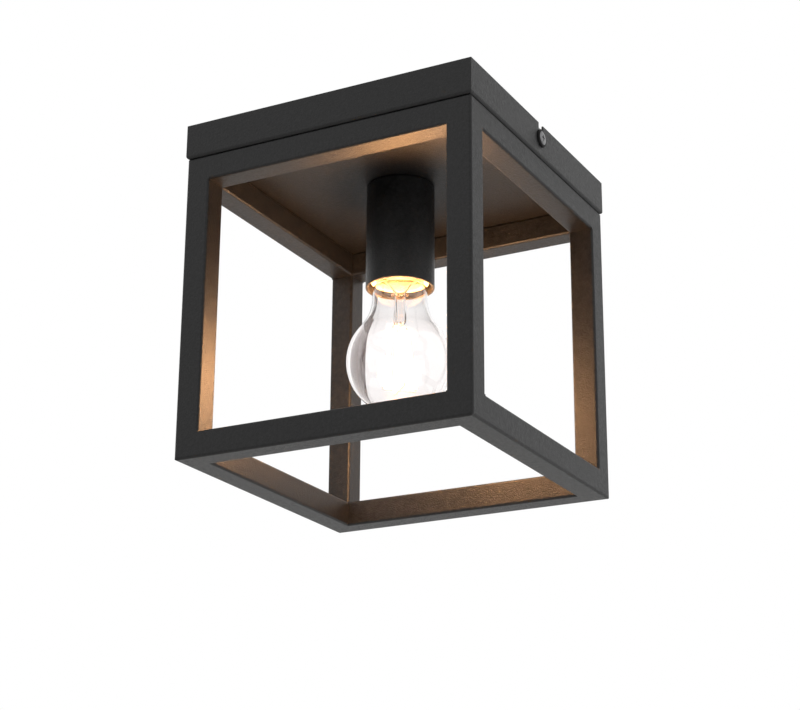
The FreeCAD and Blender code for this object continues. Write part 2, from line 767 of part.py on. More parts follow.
def make_terminal_block():
    """A three-pole block with raised poles and one fixing ear."""
    body = new_body("terminal_block")
    long, deep = f"(1.5 * {POLE_STEP})", "block_depth / 2"
    base = new_sketch(body, "XY_Plane")
    draw_box(base, f"-{long}", f"-{deep}", long, deep)
    pad(body, base, "block_base")
    ear = new_sketch(body, "XY_Plane")
    draw_box(ear, f"{long} - 1", f"-{deep} + 3", f"{long} + block_ear", f"{deep} - 3")
    pad(body, ear, "block_ear_height")
    poles = new_sketch(body, "XY_Plane")
    for number in (-1, 0, 1):
        middle = f"{number} * {POLE_STEP}"
        draw_box(poles, f"{middle} - pole_width / 2", f"-{deep}", f"{middle} + pole_width / 2", deep)
    pad(body, poles, "block_height")
    top = value("block_height")
    fillet(body, "pole_width / 4", lambda edge: along(edge, (0, 1, 0)) and at_height(edge, top))
    tunnels = new_sketch(body, "XZ_Plane")
    for number in (-1, 0, 1):
        draw_circle(tunnels, f"{number} * {POLE_STEP}", "sleeve_height", "sleeve_radius")
    pocket(body, tunnels)
    wells = new_sketch(body, "XY_Plane", "block_height")
    for number in (-1, 0, 1):
        for deep_side in ("", "-"):
            spot = (f"{number} * {POLE_STEP}", f"{deep_side}clamp_screw_y")
            draw_circle(wells, *spot, "clamp_screw_radius + 2 * screw_hole_gap")
    pocket(body, wells, "block_height - sleeve_height")
    ear_hole = new_sketch(body, "XY_Plane")
    draw_circle(ear_hole, f"{long} + block_ear / 2", "0", "small_screw_radius + screw_hole_gap")
    pocket(body, ear_hole)
    place(body, BLOCK_ACROSS, BLOCK_DEEP, FLOOR_TOP)


def make_terminal_metal():
    sleeves = new_body("terminal_sleeves")
    section = new_sketch(sleeves, "XZ_Plane")
    for number in (-1, 0, 1):
        draw_circle(section, f"{number} * {POLE_STEP}", "sleeve_height", "sleeve_radius")
        draw_circle(section, f"{number} * {POLE_STEP}", "sleeve_height", "sleeve_bore")
    pad(sleeves, section, "sleeve_length", symmetric=True)
    holes = new_sketch(sleeves, "XY_Plane", "block_height")
    for number in (-1, 0, 1):
        for side in ("", "-"):
            draw_circle(holes, f"{number} * {POLE_STEP}", f"{side}clamp_screw_y", "clamp_screw_radius")
    pocket(sleeves, holes, "block_height - sleeve_height")
    place(sleeves, BLOCK_ACROSS, BLOCK_DEEP, FLOOR_TOP)
    foot = "sleeve_height + sleeve_bore / 2"
    screws = turned("terminal_screws", [
        ("0", foot),
        ("clamp_screw_radius", foot),
        ("clamp_screw_radius", "block_height - 2"),
        ("0", "block_height - 2"),
    ])
    repeat(screws, ("YZ_Plane", f"2 * {POLE_STEP}", 3), ("XZ_Plane", "2 * clamp_screw_y", 2))
    place(screws, f"{BLOCK_ACROSS} - {POLE_STEP}", f"{BLOCK_DEEP} - clamp_screw_y", FLOOR_TOP)


def make_stud(label, length, radius, across, deep):
    body = turned(label, [
        ("0", "0"),
        (radius, "0"),
        (radius, f"{length} - 0.5"),
        (f"{radius} - 0.5", length),
        ("0", length),
    ])
    place(body, across, deep, FLOOR_TOP)


def make_block_fixing():
    across = f"{BLOCK_ACROSS} + 1.5 * {POLE_STEP} + block_ear / 2"
    length = "block_ear_height + block_nut_height + 2"
    make_stud("terminal_block_stud", length, "small_screw_radius", across, BLOCK_DEEP)
    nut = hex_nut("terminal_block_nut", "block_nut_flats", "block_nut_height", "small_screw_radius")
    place(nut, across, BLOCK_DEEP, f"{FLOOR_TOP} + block_ear_height")


def make_earth_fixing():
    make_stud("earth_stud", "earth_stud_length", "screw_radius", EARTH_LINE, EARTH_LINE)
    bore = "screw_radius + screw_hole_gap"
    washer = turned("earth_washer", [
        (bore, "0"),
        ("earth_washer_radius", "0"),
        ("earth_washer_radius", "earth_washer_sheet"),
        (bore, "earth_washer_sheet"),
    ])
    place(washer, EARTH_LINE, EARTH_LINE, FLOOR_TOP)
    nut = hex_nut("earth_nut", "earth_nut_flats", "earth_nut_height", "screw_radius")
    place(nut, EARTH_LINE, EARTH_LINE, f"{FLOOR_TOP} + earth_washer_sheet")


def make_lamp_base():
    """The lamp's contact tip, glass button, screw cap and driver."""
    turned("bulb_contact", [
        ("0", TIP),
        ("0", f"{TIP} - tip_height"),
        ("tip_radius", f"{TIP} - tip_height"),
        ("tip_radius", f"{TIP} - tip_height / 2", "tip_radius * 1.6", 1),
        ("tip_radius / 3", TIP),
    ])
    high, low = f"{TIP} - tip_height / 2", f"{TIP} - tip_height - 2.9"
    shoulder = f"{TIP} - tip_height - 1.9"
    turned("bulb_insulator", [
        ("tip_radius", high),
        ("tip_radius", f"{TIP} - tip_height"),
        ("0", f"{TIP} - tip_height"),
        ("0", low),
        ("glass_button_radius", low),
        ("glass_button_radius", shoulder),
        ("tip_radius + 1.3", high),
    ])
    inner = "(cap_radius - cap_sheet)"
    turn = f"{shoulder} - (cap_radius - glass_button_radius)"
    turned("bulb_cap", [
        ("glass_button_radius", shoulder),
        ("glass_button_radius", low),
        (inner, f"{turn} - cap_sheet"),
        (inner, CAP_END),
        ("cap_radius", CAP_END),
        ("cap_radius", turn),
    ])
    top = f"{TIP} - driver_drop"
    turned("bulb_driver", [
        ("0", top),
        ("0", f"{top} - driver_height"),
        (f"{inner} - 2", f"{top} - driver_height"),
        (f"{inner} - 2", f"{top} - 2"),
        (inner, f"{top} - 2"),
        (inner, top),
    ])


def globe_outline(offset):
    """Sphere and neck arcs that meet in one tangent, from the neck to the pole."""
    ball = f"(globe_radius - {offset})"
    neck = f"(cap_radius - cap_sheet - {offset})"
    drop = f"(({CAP_END} - neck_length) - ({GLOBE_CENTRE}))"
    waist = f"(({neck} * {neck} + {drop} * {drop} - {ball} * {ball}) / (2 * ({ball} - {neck})))"
    share = f"({ball} / ({ball} + {waist}))"
    meet = (f"{share} * ({neck} + {waist})", f"{GLOBE_CENTRE} + {share} * {drop}")
    return ball, neck, waist, meet


def make_globe():
    ball, neck, waist, meet = globe_outline("0")
    inner_ball, inner_neck, inner_waist, inner_meet = globe_outline("glass_wall")
    low = f"{CAP_END} - neck_length"
    turned("bulb_glass", [
        (neck, NECK_TOP),
        (inner_neck, NECK_TOP),
        (inner_neck, low, inner_waist, 1),
        (*inner_meet, inner_ball, -1),
        (inner_ball, GLOBE_CENTRE, inner_ball, -1),
        ("0", f"{GLOBE_CENTRE} - {inner_ball}"),
        ("0", f"{GLOBE_CENTRE} - {ball}", ball, 1),
        (ball, GLOBE_CENTRE, ball, 1),
        (*meet, waist, -1),
        (neck, low),
    ])


def make_stem():
    """The flared glass stem, sealed in the neck, that carries the wires."""
    wide = "cap_radius - cap_sheet - glass_wall"
    pinch = f"{NECK_TOP} - stem_length / 3"
    return turned("bulb_stem", [
        (wide, NECK_TOP),
        (f"{wide} - stem_wall", NECK_TOP),
        ("stem_radius - stem_wall / 2", f"{pinch} + stem_radius"),
        ("0", f"{pinch} + stem_radius"),
        ("0", STEM_END),
        ("stem_radius * 0.7", STEM_END),
        ("stem_radius", f"{STEM_END} + stem_radius * 0.5"),
        ("stem_radius", pinch),
        ("stem_radius + stem_wall", f"{pinch} + stem_radius"),
    ])


def rod(start, finish, radius):
    length = finish.sub(start)
    return Part.makeCylinder(radius, length.Length, start, length)


def place_wires(label, shape):
    feature = DOC.addObject("Part::Feature", label)
    feature.Label = label
    feature.Shape = shape
    feature.Placement = FreeCAD.Placement()
    NODES.append(feature)


def filament_ends(number):
    """Both ends of one filament: all lean outwards from the stem's end."""
    angle = 2 * math.pi * (number + 0.5) / value("filament_count")
    aim = FreeCAD.Vector(math.cos(angle), math.sin(angle), 0)
    spread = value("filament_foot_spread - filament_top_spread")
    drop = math.sqrt(value("filament_length") ** 2 - spread ** 2)
    top = aim * value("filament_top_spread") + FreeCAD.Vector(0, 0, value(f"{STEM_END} - 1"))
    foot = top + aim * spread - FreeCAD.Vector(0, 0, drop)
    return top, foot


def make_filaments(stem):
    """Four lit rods between end tags, with lead wires above and a star below."""
    thin, thick = value("wire_radius"), value("filament_radius")
    tag = value("filament_tag")
    rods, leads, supports = [], [], []
    stem_tip = FreeCAD.Vector(0, 0, value(f"{STEM_END}"))
    inset = value("stem_radius * 0.5")
    foot_level = 0
    for number in range(int(value("filament_count"))):
        top, foot = filament_ends(number)
        line = (foot - top).normalize()
        aim = FreeCAD.Vector(top.x, top.y, 0).normalize()
        rods.append(rod(top + line * tag, foot - line * tag, thick))
        lead = rod(stem_tip + aim * inset, top, thin)
        tag_top = rod(top, top + line * tag, thin)
        lead = lead.fuse(tag_top).fuse(Part.makeSphere(thin, top))
        leads.append(lead.cut(stem.Shape))
        hub = FreeCAD.Vector(0, 0, foot.z)
        arm = rod(hub, foot, thin)
        tag_foot = rod(foot - line * tag, foot, thin)
        supports.append(arm.fuse(tag_foot).fuse(Part.makeSphere(thin, foot)))
        foot_level = foot.z
    spine = rod(stem_tip, FreeCAD.Vector(0, 0, foot_level - thin), thin * 1.5)
    place_wires("bulb_filaments", Part.makeCompound(rods))
    place_wires("bulb_lead_wires", Part.makeCompound(leads))
    place_wires("bulb_support_wires", spine.multiFuse(supports).removeSplitter())


def make_cage():
    sides = ("front", "right", "back", "left")
    for number, side in enumerate(sides):
        make_rail(f"top_rail_{side}", TOP_RING, 90 * number, -1, riveted=number % 2 == 0)
        make_rail(f"bottom_rail_{side}", BOTTOM_RING, 90 * number, 1)
    corners = ("front_left", "front_right", "back_right", "back_left")
    for number, corner in enumerate(corners):
        make_post(f"corner_post_{corner}", 90 * number)


def check_document():
    for item in DOC.Objects:
        if {"Invalid", "Error"} & set(item.State):
            raise ValueError(f"{item.Label} is {item.State}")
    for node in NODES:
        if node.Shape.isNull() or not node.Shape.isValid():
            raise ValueError(f"{node.Label} has no valid shape")


def write_nodes():
    os.makedirs("parts", exist_ok=True)
    for node in NODES:
        node.Shape.exportStep(f"parts/{node.Label}.step")
        print(f"{node.Label}: {len(node.Shape.Solids)} solid, {node.Shape.Volume:.1f} mm3")


fill_sheet()
make_cage()
make_canopy()
make_cage_screws()
make_rivet_nuts()
make_bracket()
make_clinch_nuts()
for end, sign in (("right", ""), ("left", "-")):
    make_side_washer(f"side_washer_{end}", sign)
    make_side_screw(f"side_screw_{end}", sign)
make_nipple()
make_cover()
make_dome()
make_insulator()
make_holder_terminals()
make_skirt()
make_screw_shell()
make_terminal_block()
make_terminal_metal()
make_block_fixing()
make_earth_fixing()
make_lamp_base()
make_globe()
make_filaments(make_stem())
DOC.recompute()
check_document()
write_nodes()
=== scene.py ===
import json
import math

import bmesh
import bpy
from mathutils import Matrix, Vector


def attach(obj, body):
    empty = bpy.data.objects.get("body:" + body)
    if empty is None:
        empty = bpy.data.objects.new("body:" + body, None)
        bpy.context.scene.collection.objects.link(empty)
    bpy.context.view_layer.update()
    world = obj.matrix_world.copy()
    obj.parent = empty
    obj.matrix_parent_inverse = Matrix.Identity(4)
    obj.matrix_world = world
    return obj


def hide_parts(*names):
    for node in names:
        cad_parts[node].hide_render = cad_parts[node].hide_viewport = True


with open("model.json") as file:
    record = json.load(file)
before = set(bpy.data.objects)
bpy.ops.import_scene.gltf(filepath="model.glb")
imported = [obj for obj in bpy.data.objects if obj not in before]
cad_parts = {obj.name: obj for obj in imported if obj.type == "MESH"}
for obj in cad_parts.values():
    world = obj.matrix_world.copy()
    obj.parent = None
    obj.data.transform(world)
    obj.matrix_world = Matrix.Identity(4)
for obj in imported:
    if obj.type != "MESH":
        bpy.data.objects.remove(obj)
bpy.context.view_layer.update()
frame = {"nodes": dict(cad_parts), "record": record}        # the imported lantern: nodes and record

nodes = frame["nodes"]
mm = 0.001
print("Frame loaded:", len(nodes), "nodes")


def clearAll():
    if bpy.context.mode != "OBJECT":
        bpy.ops.object.mode_set(mode="OBJECT")
    bpy.ops.object.select_all(action="DESELECT")


def useOnly(piece):
    clearAll()
    piece.select_set(True)
    bpy.context.view_layer.objects.active = piece


def startMaterial(name, **settings):
    # A new material with its shader; settings are the shader's own sockets.
    material = bpy.data.materials.new(name)
    material.use_nodes = True
    shader = material.node_tree.nodes["Principled BSDF"]
    for socket, value in settings.items():
        shader.inputs[socket.replace("_", " ")].default_value = value
    return material, shader


def addNode(material, kind, settings=None, **inputs):
    node = material.node_tree.nodes.new("ShaderNode" + kind)
    for field, value in (settings or {}).items():
        setattr(node, field, value)
    for socket, value in inputs.items():
        # n0, n1 and so on are sockets by number; the others go by name.
        byNumber = socket[0] == "n" and socket[1:].isdigit()
        key = int(socket[1:]) if byNumber else socket.replace("_", " ")
        if hasattr(value, "is_linked"):
            material.node_tree.links.new(value, node.inputs[key])
        else:
            node.inputs[key].default_value = value
    return node


def objectCoords(material):
    coords = addNode(material, "TexCoord").outputs["Object"]
    return addNode(material, "Mapping", Vector=coords).outputs["Vector"]


def noise(material, coords, scale, detail=2.0, roughness=0.5):
    return addNode(material, "TexNoise", Vector=coords, Scale=scale, Detail=detail,
                   Roughness=roughness).outputs["Fac"]


def ramp(material, fac, stops):
    # A colour ramp; stops are (place, colour or grey).
    node = addNode(material, "ValToRGB", Fac=fac)
    band = node.color_ramp
    while len(band.elements) < len(stops):
        band.elements.new(0.5)
    for element, (place, colour) in zip(band.elements, stops):
        element.position = place
        grey = isinstance(colour, (int, float))
        element.color = (colour, colour, colour, 1) if grey else (*colour, 1)
    return node.outputs["Color"]


def twoTone(material, cloud, first, second):
    return ramp(material, cloud, [(0.3, first), (0.7, second)])


def link(material, output, socket):
    material.node_tree.links.new(output, socket)


def bumpFrom(material, shader, height, strength, distance):
    bump = addNode(material, "Bump", Height=height, Strength=strength, Distance=distance)
    link(material, bump.outputs["Normal"], shader.inputs["Normal"])


def paint(name, material):
    node = nodes[name]
    if not node.data.materials:
        node.data.materials.append(material)
    for place in node.material_slots:
        place.material = material


powderCoat = {
    "dark": (0.0035, 0.0035, 0.0037),
    "light": (0.015, 0.015, 0.0155),
    "grainScale": 1150,      # per metre: grains a little under a millimetre
    "mottleScale": 420,
    "grainStrength": 0.85,
    "grainHeight": 0.00034,
    "specks": (0.12, 0.42),      # where grain times mottle turns from dark to light
    "roughness": 0.39,
    "smoother": -0.05,
    "rougher": 0.07,
    "specular": 0.28,
}


def makePowderCoat():
    look = powderCoat
    material, shader = startMaterial("blackPowderCoat", Specular_IOR_Level=look["specular"])
    coords = objectCoords(material)
    grain = noise(material, coords, look["grainScale"], 3, 0.6)
    mottle = noise(material, coords, look["mottleScale"], 2)
    both = addNode(material, "Math", {"operation": "MULTIPLY"}, n0=grain, n1=mottle).outputs[0]
    specks = list(zip(look["specks"], (look["dark"], look["light"])))
    link(material, ramp(material, both, specks), shader.inputs["Base Color"])
    rough = look["roughness"]
    link(material, twoTone(material, mottle, rough + look["smoother"], rough + look["rougher"]),
         shader.inputs["Roughness"])
    bumpFrom(material, shader, grain, look["grainStrength"], look["grainHeight"])
    return material


# How a plain finish varies: roughness from low to high, and a fine bump at scale times fine.
metalLook = {"low": 0.85, "high": 1.2, "cloudDetail": 3, "fine": 8, "bump": 0.1, "depth": 0.00003}
plasticLook = {"low": 0.9, "high": 1.15, "cloudDetail": 2, "fine": 7, "bump": 0.08, "depth": 0.00004}


def makeFinish(name, look, first, second, roughness, scale, **settings):
    material, shader = startMaterial(name, **settings)
    coords = objectCoords(material)
    cloud = noise(material, coords, scale, look["cloudDetail"])
    link(material, twoTone(material, cloud, first, second), shader.inputs["Base Color"])
    link(material, twoTone(material, cloud, roughness * look["low"], roughness * look["high"]),
         shader.inputs["Roughness"])
    fine = noise(material, coords, scale * look["fine"], 2)
    bumpFrom(material, shader, fine, look["bump"], look["depth"])
    return material


def makeMetal(name, first, second, roughness, scale=260, metallic=1.0):
    return makeFinish(name, metalLook, first, second, roughness, scale, Metallic=metallic)


def makePlastic(name, first, second, roughness, scale=300, specular=0.5):
    return makeFinish(name, plasticLook, first, second, roughness, scale, Specular_IOR_Level=specular)


def mixShaders(material, share, first, second):
    return addNode(material, "MixShader", Fac=share, n1=first, n2=second).outputs["Shader"]


glassLook = {
    "tint": [(0.2, (0.955, 0.947, 0.943)), (0.8, (0.98, 0.975, 0.972))],
    "waveScale": 45,
    "waveStrength": 0.06,
    "waveHeight": 0.0006,
    "hazeColour": (0.30, 0.45, 1, 1),
    "hazeStart": -0.097,
    "hazeFull": -0.122,
    "haze": 0.006,
}


def makeGlass(name, haze=0.0):
    look = glassLook
    material, shader = startMaterial(name, Roughness=0.0, IOR=1.47, Transmission_Weight=1.0)
    coords = objectCoords(material)
    wave = noise(material, coords, look["waveScale"], 2)
    link(material, ramp(material, wave, look["tint"]), shader.inputs["Base Color"])
    bumpFrom(material, shader, wave, look["waveStrength"], look["waveHeight"])
    glass = shader.outputs["BSDF"]
    if haze:
        # A breath of haze from the neck down, which the lit lamp shows as a soft glow.
        height = addNode(material, "SeparateXYZ", Vector=coords).outputs["Z"]
        share = addNode(material, "MapRange", Value=height, From_Min=look["hazeStart"],
                        From_Max=look["hazeFull"], To_Max=haze).outputs["Result"]
        soft = addNode(material, "BsdfTranslucent", Color=look["hazeColour"]).outputs["BSDF"]
        glass = mixShaders(material, share, glass, soft)
    passing = addNode(material, "BsdfTransparent").outputs["BSDF"]
    shadowRay = addNode(material, "LightPath").outputs["Is Shadow Ray"]
    out = material.node_tree.nodes["Material Output"]
    link(material, mixShaders(material, shadowRay, glass, passing), out.inputs["Surface"])
    return material


filamentLook = {"hot": (1.0, 0.72, 0.38), "cool": (1.0, 0.60, 0.25), "dotScale": 900, "strength": 30.0}


def makeFilament():
    look = filamentLook
    material, shader = startMaterial("litFilament", Roughness=0.5)
    coords = objectCoords(material)
    dots = noise(material, coords, look["dotScale"], 1)
    colour = twoTone(material, dots, look["cool"], look["hot"])
    link(material, colour, shader.inputs["Base Color"])
    link(material, colour, shader.inputs["Emission Color"])
    shader.inputs["Emission Strength"].default_value = look["strength"]
    return material


blackPowder = makePowderCoat()
blackOxide = makeMetal("blackOxide", (0.02, 0.02, 0.021), (0.035, 0.035, 0.037), 0.38, metallic=0.6)
zincSteel = makeMetal("zincPlatedSteel", (0.62, 0.63, 0.65), (0.74, 0.75, 0.76), 0.32)
darkZinc = makeMetal("darkZincSteel", (0.13, 0.13, 0.133), (0.24, 0.24, 0.245), 0.3)
# The cup washers' own black, made darker and duller than black oxide so that it also paints the shadow ring
# round each side screw's head: partly real colour, partly painted shade.
washerBlackAndShade = makePlastic("washerBlackAndPaintedShade", (0.004, 0.004, 0.0042), (0.009, 0.009, 0.0092), 0.5,
                        specular=0.12)
brass = makeMetal("brass", (0.72, 0.52, 0.22), (0.83, 0.63, 0.30), 0.28)
nickelCap = makeMetal("nickelPlate", (0.34, 0.25, 0.13), (0.44, 0.33, 0.18), 0.24)
nickelWire = makeMetal("nickelWire", (0.55, 0.54, 0.52), (0.7, 0.69, 0.66), 0.25, scale=900)
whiteCeramic = makePlastic("whiteCeramic", (0.78, 0.77, 0.73), (0.84, 0.83, 0.80), 0.25)
creamPlastic = makePlastic("creamPlastic", (0.42, 0.29, 0.17), (0.50, 0.36, 0.22), 0.42)
whitePlastic = makePlastic("whitePlastic", (0.76, 0.76, 0.74), (0.83, 0.83, 0.81), 0.4)
blackGlass = makePlastic("blackSealGlass", (0.008, 0.008, 0.01), (0.02, 0.02, 0.022), 0.12)
circuitBoard = makePlastic("circuitBoard", (0.55, 0.36, 0.15), (0.66, 0.46, 0.22), 0.5)
shellBrass = makeMetal("shellBrass", (0.17, 0.062, 0.006), (0.22, 0.09, 0.010), 0.3)
clearGlass = makeGlass("clearBulbGlass", glassLook["haze"])
stemGlass = makeGlass("clearStemGlass")
litFilament = makeFilament()

slotMaterials = {
    "black_powder_coat": blackPowder, "black_oxide": blackOxide, "zinc_steel": zincSteel,
    "brass": brass, "white_ceramic": whiteCeramic, "cream_plastic": creamPlastic,
    "white_plastic": whitePlastic, "black_glass_seal": blackGlass, "nickel_cap": nickelCap,
    "circuit_board": circuitBoard, "clear_glass": clearGlass, "lit_filament": litFilament,
    "nickel_wire": nickelWire,
}

# A CAD node takes the finish of its own slot in the record.
slotOf = {part["node"]: part["material_slot"] for part in frame["record"]["subparts"]}
for name in nodes:
    paint(name, slotMaterials[slotOf[name]])
print("Finishes ready:", len(slotMaterials))


def pick(piece, kind, test):
    # In edit mode: only what passes the test is selected, by its place or normal.
    bpy.ops.mesh.select_mode(type=kind)
    bpy.ops.mesh.select_all(action="DESELECT")
    mesh = bmesh.from_edit_mesh(piece.data)
    for part in {"VERT": mesh.verts, "EDGE": mesh.edges, "FACE": mesh.faces}[kind]:
        if test(part):
            part.select_set(True)
    bmesh.update_edit_mesh(piece.data)


def startRing(name, around, radius, height, place=(0, 0)):
    clearAll()
    spot = (place[0] * mm, place[1] * mm, height * mm)
    bpy.ops.mesh.primitive_circle_add(vertices=around, radius=radius * mm, location=spot)
    piece = bpy.context.object
    piece.name = name
    piece.data.name = name
    bpy.ops.object.transform_apply(location=True)
    bpy.ops.object.mode_set(mode="EDIT")
    bpy.ops.mesh.select_mode(type="VERT")
    bpy.ops.mesh.select_all(action="SELECT")
    return piece


def pullRing(start, outline):
    # Pulls the selected ring along points of (radius, height); a radius of nought closes it.
    radius, height = start
    for nextRadius, nextHeight in outline:
        step = {"value": (0, 0, (nextHeight - height) * mm)}
        bpy.ops.mesh.extrude_region_move(TRANSFORM_OT_translate=step)
        if nextRadius == 0:
            bpy.ops.mesh.merge(type="CENTER")
            return
        share = nextRadius / radius
        bpy.ops.transform.resize(value=(share, share, 1), center_override=(0, 0, 0))
        radius, height = nextRadius, nextHeight


def closeShape(piece, angle=35):
    # Merges the doubles, turns the faces outwards and shades the piece.
    bpy.ops.mesh.select_mode(type="VERT")
    bpy.ops.mesh.select_all(action="SELECT")
    bpy.ops.mesh.remove_doubles(threshold=1e-6)
    bpy.ops.mesh.normals_make_consistent(inside=False)
    useOnly(piece)
    bpy.ops.object.shade_smooth_by_angle(angle=math.radians(angle))
    return piece


def turnPiece(name, outline, around=96, closed=False, startFilled=False, angle=35):
    # A turned piece from its outline in (radius, height); closed brings the last ring to the first.
    piece = startRing(name, around, *outline[0])
    if startFilled:
        bpy.ops.mesh.edge_face_add()
        bpy.ops.mesh.select_mode(type="EDGE")
    pullRing(outline[0], list(outline[1:]) + ([outline[0]] if closed else []))
    return closeShape(piece, angle)


def arcPoints(centre, radius, start, end, steps):
    # Points of an arc after its start, angles in degrees from straight out.
    across, up = centre
    turns = [math.radians(start + (end - start) * step / steps) for step in range(1, steps + 1)]
    return [(across + radius * math.cos(turn), up + radius * math.sin(turn)) for turn in turns]


def applyModifier(piece, kind, **settings):
    useOnly(piece)
    modifier = piece.modifiers.new(kind.title(), kind)
    for field, value in settings.items():
        setattr(modifier, field, value)
    bpy.ops.object.modifier_apply(modifier=modifier.name)


def giveWall(piece, thickness, offset=-1):
    applyModifier(piece, "SOLIDIFY", thickness=thickness * mm, offset=offset)


def cutWith(piece, cutter):
    applyModifier(piece, "BOOLEAN", object=cutter, operation="DIFFERENCE", solver="EXACT")
    bpy.data.objects.remove(cutter, do_unlink=True)


def setInPlace(piece, matrix):
    # Turns and moves a finished piece, with the place kept in its mesh.
    useOnly(piece)
    piece.matrix_world = matrix
    bpy.ops.object.transform_apply(location=True, rotation=True, scale=True)


def copyPiece(piece, name):
    useOnly(piece)
    bpy.ops.object.duplicate(linked=False)
    twin = bpy.context.object
    twin.name = name
    twin.data.name = name
    return twin


def finishPiece(piece, material, body, slotName, *replaced):
    piece.data.materials.clear()
    piece.data.materials.append(material)
    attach(piece, body)
    if replaced:
        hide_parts(*replaced)


sleeveStart = 1.37      # pitches below the lower cut, so that no corner lies on a cut


def threadSleeve(name, thread, low, high, around=64):
    # A screw thread as an open sleeve, cut off level at both ends.
    piece = startRing(name, 3, 1, low - sleeveStart * thread["pitch"])
    bpy.ops.mesh.merge(type="CENTER")
    root, crest, pitch = thread["root"], thread["crest"], thread["pitch"]
    middle, swing, steps = (root + crest) / 2, (crest - root) / 2, thread["steps"]
    turns = [2 * math.pi * step / steps for step in range(steps + 1)]
    waves = [max(-1, min(1, thread["sharpness"] * math.cos(turn))) for turn in turns]
    bpy.ops.transform.translate(value=((middle + swing * waves[0]) * mm, 0, 0))
    for step in range(steps):
        move = ((waves[step + 1] - waves[step]) * swing * mm, 0, pitch / steps * mm)
        bpy.ops.mesh.extrude_region_move(TRANSFORM_OT_translate={"value": move})
    useOnly(piece)
    applyModifier(piece, "SCREW", angle=2 * math.pi, screw_offset=pitch * mm,
                  iterations=math.ceil((high - low) / pitch) + 3,
                  steps=around, render_steps=around, use_merge_vertices=True, merge_threshold=1e-6)
    bpy.ops.object.mode_set(mode="EDIT")
    bpy.ops.mesh.select_mode(type="VERT")
    bpy.ops.mesh.select_all(action="SELECT")
    bpy.ops.mesh.remove_doubles(threshold=1e-6)
    for level, side in ((low, {"clear_inner": True}), (high, {"clear_outer": True})):
        bpy.ops.mesh.select_all(action="SELECT")
        bpy.ops.mesh.bisect(plane_co=(0, 0, level * mm), plane_no=(0, 0, 1),
                            threshold=1e-7, **side)
    return piece


def isRimAt(edge, level):
    return edge.is_boundary and all(abs(vert.co.z - level * mm) < 2e-6 for vert in edge.verts)


def joinRing(piece, level, ring, around=64):
    # Bridges the thread's rim at a level to a new plain ring, which is left selected.
    bpy.ops.mesh.select_all(action="DESELECT")
    bpy.ops.mesh.primitive_circle_add(vertices=around, radius=ring[0] * mm,
                                      location=(0, 0, ring[1] * mm))
    pick(piece, "EDGE", lambda edge: edge.is_wire or isRimAt(edge, level))
    bpy.ops.mesh.bridge_edge_loops()
    pick(piece, "EDGE", lambda edge: isRimAt(edge, ring[1]))


# The lamp's glass: a cap rim, a shoulder, a neck and a globe in one smooth outline.
bulbGlass = {
    "rim": (12.9, -76.5),
    "shoulderTop": -80.5,
    "shoulderLow": -86.5,
    "neckRadius": 15.9,
    "neckLow": -90.5,
    "globeRadius": 30.5,
    "globeCentre": -130.0,
    "wall": 0.8,
    "around": 128,
    "shoulderSteps": 6,
    "waistSteps": 14,
    "globeSteps": 44,
    "lastAngle": -88,
}


def makeBulbGlass():
    size = bulbGlass
    rim, neck, ball = size["rim"][0], size["neckRadius"], size["globeRadius"]
    step, drop = neck - rim, size["shoulderTop"] - size["shoulderLow"]
    bend = (step ** 2 + drop ** 2) / (4 * step)      # two equal arcs from the rim to the neck
    lean = math.degrees(math.asin(drop / (2 * bend)))
    fall = size["neckLow"] - size["globeCentre"]
    waist = (neck ** 2 + fall ** 2 - ball ** 2) / (2 * (ball - neck))
    meet = math.degrees(math.atan2(fall, neck + waist))
    outline = [size["rim"], (rim, size["shoulderTop"])]
    steps = size["shoulderSteps"]
    outline += arcPoints((rim + bend, size["shoulderTop"]), bend, 180, 180 + lean, steps)
    outline += arcPoints((neck - bend, size["shoulderLow"]), bend, lean, 0, steps)
    outline += [(neck, size["neckLow"])]
    outline += arcPoints((neck + waist, size["neckLow"]), waist, 180, 180 + meet, size["waistSteps"])
    outline += arcPoints((0, size["globeCentre"]), ball, meet, size["lastAngle"], size["globeSteps"])
    outline += [(0, size["globeCentre"] - ball)]
    glass = turnPiece("bulbGlass", outline, size["around"], angle=60)
    giveWall(glass, size["wall"])
    finishPiece(glass, clearGlass, "bulb", "clear_glass", "bulb_glass")


makeBulbGlass()

# The glass stem: a flare sealed in the neck, a tube, and a flattened pinch that holds the wires.
bulbStem = {
    "outline": [(12.0, -76.6), (11.0, -78.0), (8.4, -81.0), (5.4, -84.2), (3.9, -87.0), (3.3, -90.0),
                (3.2, -94.0), (3.2, -99.0), (3.2, -101.0), (3.1, -103.5), (2.9, -106.0), (2.2, -107.2),
                (0, -107.5)],
    "wall": 0.7,
    "around": 48,
    "pinchLevels": (-99.5, -102.5),      # pressed flat in two steps
    "pinchWide": 1.16,
    "pinchThin": 0.74,
}


def makeBulbStem():
    stem = turnPiece("bulbStem", bulbStem["outline"], bulbStem["around"], angle=60)
    giveWall(stem, bulbStem["wall"])
    bpy.ops.object.mode_set(mode="EDIT")
    for level in bulbStem["pinchLevels"]:
        pick(stem, "VERT", lambda vert: vert.co.z < level * mm)
        bpy.ops.transform.resize(value=(bulbStem["pinchWide"], bulbStem["pinchThin"], 1),
                                 center_override=(0, 0, 0))
    clearAll()
    finishPiece(stem, stemGlass, "bulb", "clear_glass", "bulb_stem")


makeBulbStem()

# Four lit rods lean outwards from the stem; each has a metal tag at both ends.
filament = {
    "count": 4,
    "radius": 0.9,
    "topSpread": 4.0,
    "footSpread": 10.0,
    "topHeight": -108.5,
    "length": 39.0,
    "tag": 2.0,
    "ends": [(0.5, 0), (0.85, 0.15), (1.0, 0.5)],      # share of the radius, distance from the end
    "around": 20,
}
filamentLean = math.asin((filament["footSpread"] - filament["topSpread"]) / filament["length"])


def quarterTurn(number):
    return Matrix.Rotation(2 * math.pi * (number + 0.5) / filament["count"], 4, "Z")


